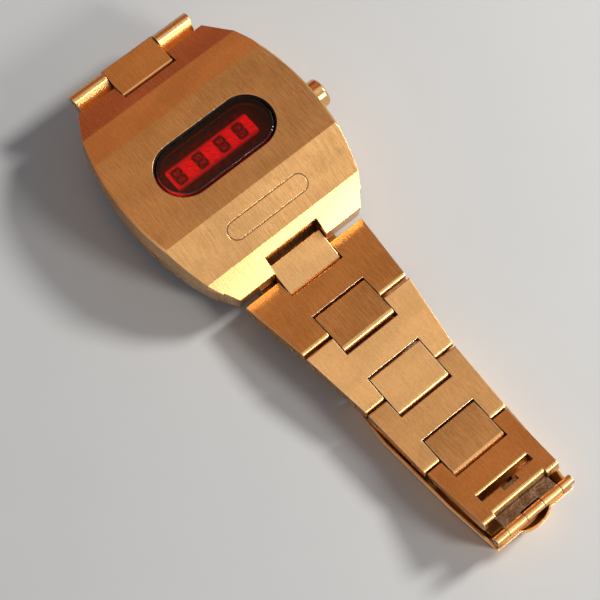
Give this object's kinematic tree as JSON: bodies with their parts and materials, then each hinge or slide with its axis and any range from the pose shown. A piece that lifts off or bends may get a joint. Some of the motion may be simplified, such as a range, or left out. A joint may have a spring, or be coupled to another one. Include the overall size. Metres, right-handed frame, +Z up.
{
  "type": "digital wrist watch",
  "caption": "Wrist watch with a light-emitting display under a long rounded lens, side push buttons, and a tapering link bracelet with a fold-over clasp, lying closed and flat.",
  "frame": {"origin": "on the surface the watch lies on, straight below the centre of the lens, on the outer face of the bracelet block that lies there", "axes": "+X to the display's three o'clock side, +Y to its twelve o'clock side, +Z up out of the display"},
  "size_m": [0.0391, 0.1008, 0.0136],
  "materials": {
    "case_gold": "satin brushed gold plating",
    "case_steel": "brushed",
    "link_gold": "satin brushed gold plating with fine wear",
    "block_gold": "satin brushed gold plating",
    "pin_steel": "drawn wire",
    "clasp_gold": "satin gold plating",
    "clasp_steel": "brushed",
    "button_gold": "polished gold plating",
    "lens_red": "polished dark red mineral glass",
    "seal_rubber": "matte",
    "module_black": "moulded",
    "board_green": "solder mask",
    "package_red": "moulded",
    "strip_red": "diffusing",
    "digit_red": "diffusing",
    "chip_black": "moulded",
    "can_silver": "drawn can",
    "battery_steel": "plated can",
    "contact_brass": "bare sheet"
  },
  "bodies": {
    "case": {"case_body": "case_gold", "case_back": "case_steel", "back_gasket": "seal_rubber", "lens": "lens_red", "lens_gasket": "seal_rubber", "module_frame": "module_black", "circuit_board": "board_green", "led_package": "package_red", "display_strip": "strip_red", "led_digits": "digit_red", "driver_chip": "chip_black", "crystal_can": "can_silver", "trimmer_capacitor": "contact_brass", "batteries": "battery_steel", "battery_strap": "battery_steel", "contact_blades": "contact_brass", "display_button_spring": "pin_steel", "display_button_seal": "seal_rubber", "lug_bar_twelve": "pin_steel", "lug_bar_six": "pin_steel"},
    "display_button": {"display_button": "button_gold", "display_button_clip": "pin_steel"},
    "set_button": {"set_button": "button_gold", "set_button_clip": "pin_steel"},
    "twelve_block_1": {"twelve_block_1": "block_gold"},
    "twelve_link_1": {"twelve_link_1": "link_gold", "twelve_link_1_pins": "pin_steel"},
    "twelve_block_2": {"twelve_block_2": "block_gold"},
    "twelve_link_2": {"twelve_link_2": "link_gold", "twelve_link_2_pins": "pin_steel"},
    "twelve_block_3": {"twelve_block_3": "block_gold"},
    "twelve_link_3": {"twelve_link_3": "link_gold", "twelve_link_3_pins": "pin_steel"},
    "twelve_block_4": {"twelve_block_4": "block_gold"},
    "twelve_link_4": {"twelve_link_4": "link_gold", "twelve_link_4_pins": "pin_steel"},
    "twelve_block_5": {"twelve_block_5": "block_gold"},
    "twelve_link_5": {"twelve_link_5": "link_gold", "twelve_link_5_pins": "pin_steel"},
    "six_block_1": {"six_block_1": "block_gold"},
    "six_link_1": {"six_link_1": "link_gold", "six_link_1_pins": "pin_steel"},
    "six_block_2": {"six_block_2": "block_gold"},
    "six_link_2": {"six_link_2": "link_gold", "six_link_2_pins": "pin_steel"},
    "six_block_3": {"six_block_3": "block_gold"},
    "six_link_3": {"six_link_3": "link_gold", "six_link_3_pins": "pin_steel"},
    "six_block_4": {"six_block_4": "block_gold"},
    "six_link_4": {"six_link_4": "link_gold", "six_link_4_pins": "pin_steel", "adjuster_leaf": "clasp_steel"},
    "inner_leaf": {"inner_leaf": "clasp_gold", "clasp_hinge_pin": "pin_steel"},
    "clasp_cover": {"clasp_cover": "clasp_gold", "cover_hinge_pin": "pin_steel"}
  },
  "joints": [
    {"name": "case_to_twelve_block_1", "type": "hinge", "parent": "case", "child": "twelve_block_1", "pos_m": [0, 0.018, 0.00962], "axis": [1, 0, 0], "range_deg": [0, 15]},
    {"name": "twelve_block_1_to_link_1", "type": "hinge", "parent": "twelve_block_1", "child": "twelve_link_1", "pos_m": [0, 0.02174, 0.00929], "axis": [1, 0, 0], "range_deg": [0, 132.2]},
    {"name": "twelve_link_1_to_block_2", "type": "hinge", "parent": "twelve_link_1", "child": "twelve_block_2", "pos_m": [0, 0.01666, 0.0026], "axis": [1, 0, 0], "range_deg": [0, 49.2]},
    {"name": "twelve_block_2_to_link_2", "type": "hinge", "parent": "twelve_block_2", "child": "twelve_link_2", "pos_m": [0, 0.01219, 0.00152], "axis": [1, 0, 0], "range_deg": [0, 22.3]},
    {"name": "twelve_link_2_to_block_3", "type": "hinge", "parent": "twelve_link_2", "child": "twelve_block_3", "pos_m": [0, 0.00379, 0.00134], "axis": [1, 0, 0], "range_deg": [0, 10.8]},
    {"name": "twelve_block_3_to_link_3", "type": "hinge", "parent": "twelve_block_3", "child": "twelve_link_3", "pos_m": [0, -0.00081, 0.0013], "axis": [1, 0, 0], "range_deg": [0, 10.4]},
    {"name": "twelve_link_3_to_block_4", "type": "hinge", "parent": "twelve_link_3", "child": "twelve_block_4", "pos_m": [0, -0.00921, 0.0013], "axis": [1, 0, 0], "range_deg": [0, 10]},
    {"name": "twelve_block_4_to_link_4", "type": "hinge", "parent": "twelve_block_4", "child": "twelve_link_4", "pos_m": [0, -0.01381, 0.0013], "axis": [1, 0, 0], "range_deg": [0, 10]},
    {"name": "twelve_link_4_to_block_5", "type": "hinge", "parent": "twelve_link_4", "child": "twelve_block_5", "pos_m": [0, -0.02221, 0.0013], "axis": [1, 0, 0], "range_deg": [0, 10]},
    {"name": "twelve_block_5_to_link_5", "type": "hinge", "parent": "twelve_block_5", "child": "twelve_link_5", "pos_m": [0, -0.02681, 0.0013], "axis": [1, 0, 0], "range_deg": [0, 10]},
    {"name": "case_to_six_block_1", "type": "hinge", "parent": "case", "child": "six_block_1", "pos_m": [0, -0.02004, 0.00556], "axis": [-1, 0, 0], "range_deg": [0, 10]},
    {"name": "six_block_1_to_link_1", "type": "hinge", "parent": "six_block_1", "child": "six_link_1", "pos_m": [0, -0.02366, 0.00459], "axis": [-1, 0, 0], "range_deg": [0, 10]},
    {"name": "six_link_1_to_block_2", "type": "hinge", "parent": "six_link_1", "child": "six_block_2", "pos_m": [0, -0.03198, 0.00576], "axis": [-1, 0, 0], "range_deg": [0, 10]},
    {"name": "six_block_2_to_link_2", "type": "hinge", "parent": "six_block_2", "child": "six_link_2", "pos_m": [0, -0.03656, 0.00616], "axis": [-1, 0, 0], "range_deg": [0, 10]},
    {"name": "six_link_2_to_block_3", "type": "hinge", "parent": "six_link_2", "child": "six_block_3", "pos_m": [0, -0.04493, 0.00543], "axis": [-1, 0, 0], "range_deg": [0, 10]},
    {"name": "six_block_3_to_link_3", "type": "hinge", "parent": "six_block_3", "child": "six_link_3", "pos_m": [0, -0.04952, 0.00519], "axis": [-1, 0, 0], "range_deg": [0, 10]},
    {"name": "six_link_3_to_block_4", "type": "hinge", "parent": "six_link_3", "child": "six_block_4", "pos_m": [0, -0.05792, 0.00533], "axis": [-1, 0, 0], "range_deg": [0, 10]},
    {"name": "six_block_4_to_link_4", "type": "hinge", "parent": "six_block_4", "child": "six_link_4", "pos_m": [0, -0.06251, 0.00573], "axis": [-1, 0, 0], "range_deg": [0, 10]},
    {"name": "clasp_leaf_hinge", "type": "hinge", "parent": "six_link_4", "child": "inner_leaf", "pos_m": [0, -0.07535, 0.0084], "axis": [-1, 0, 0], "range_deg": [0, 150]},
    {"name": "clasp_cover_hinge", "type": "hinge", "parent": "inner_leaf", "child": "clasp_cover", "pos_m": [0, -0.0442, 0.0019], "axis": [1, 0, 0], "range_deg": [0, 110]},
    {"name": "display_button_push", "type": "slide", "parent": "case", "child": "display_button", "axis": [-1, 0, 0], "range_m": [0, 0.0007], "stiffness_N_per_m": 1500, "springref_m": -0.0002},
    {"name": "set_button_push", "type": "slide", "parent": "case", "child": "set_button", "axis": [1, 0, 0], "range_m": [0, 0.0004], "stiffness_N_per_m": 800, "springref_m": -0.0002}
  ]
}
